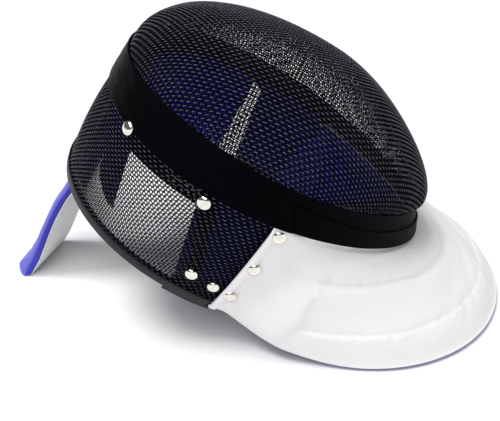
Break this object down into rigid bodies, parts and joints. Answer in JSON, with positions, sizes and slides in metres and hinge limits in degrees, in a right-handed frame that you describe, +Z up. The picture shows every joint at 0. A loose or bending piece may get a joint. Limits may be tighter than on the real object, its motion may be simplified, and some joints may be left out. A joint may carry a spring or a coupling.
{
  "type": "fencing mask",
  "caption": "Fencing mask resting on its open back: domed wire-mesh face with a black trim band, mesh sides, padded white bib, blue padding and a padded rear tongue that grips the head.",
  "frame": {"origin": "middle of the mask's box on the surface it rests on", "axes": "+X towards the chin and bib, +Y towards the wearer's left, +Z up; the mask lies on its open back with its face mesh up"},
  "size_m": [0.412, 0.2292, 0.2183],
  "materials": {
    "black_mesh": "black enamelled steel wire mesh, satin",
    "band_leather": "black coated cloth band, satin",
    "rim_leather": "black binding, slightly worn",
    "bib_cloth": "white padded cloth, matte",
    "blue_lining": "dark blue padding cloth",
    "tongue_blue": "blue padding cloth",
    "tongue_white": "off-white cloth",
    "rivet_steel": "polished plated steel"
  },
  "bodies": {
    "root": {"face_mesh": "black_mesh", "side_mesh": "black_mesh", "mesh_strip_left": "black_mesh", "mesh_strip_right": "black_mesh", "trim_band": "band_leather", "chin_strip": "band_leather", "rim_binding": "rim_leather", "jaw_edging_left": "rim_leather", "jaw_edging_right": "rim_leather", "bib": "bib_cloth", "bib_lining": "blue_lining", "crown_pad": "blue_lining", "temple_flap": "blue_lining", "jaw_pad_left": "blue_lining", "jaw_pad_right": "blue_lining", "tongue": "tongue_blue", "tongue_face": "tongue_white", "rivet_temple_right": "rivet_steel", "rivet_temple_left": "rivet_steel", "rivet_cheek_right": "rivet_steel", "rivet_cheek_left": "rivet_steel", "rivet_rim_right": "rivet_steel", "rivet_rim_left": "rivet_steel", "rivet_jaw_right": "rivet_steel", "rivet_jaw_left": "rivet_steel", "rivet_hem_low_right": "rivet_steel", "rivet_hem_low_left": "rivet_steel", "rivet_hem_middle_right": "rivet_steel", "rivet_hem_middle_left": "rivet_steel", "rivet_hem_high_right": "rivet_steel", "rivet_hem_high_left": "rivet_steel"}
  },
  "joints": []
}
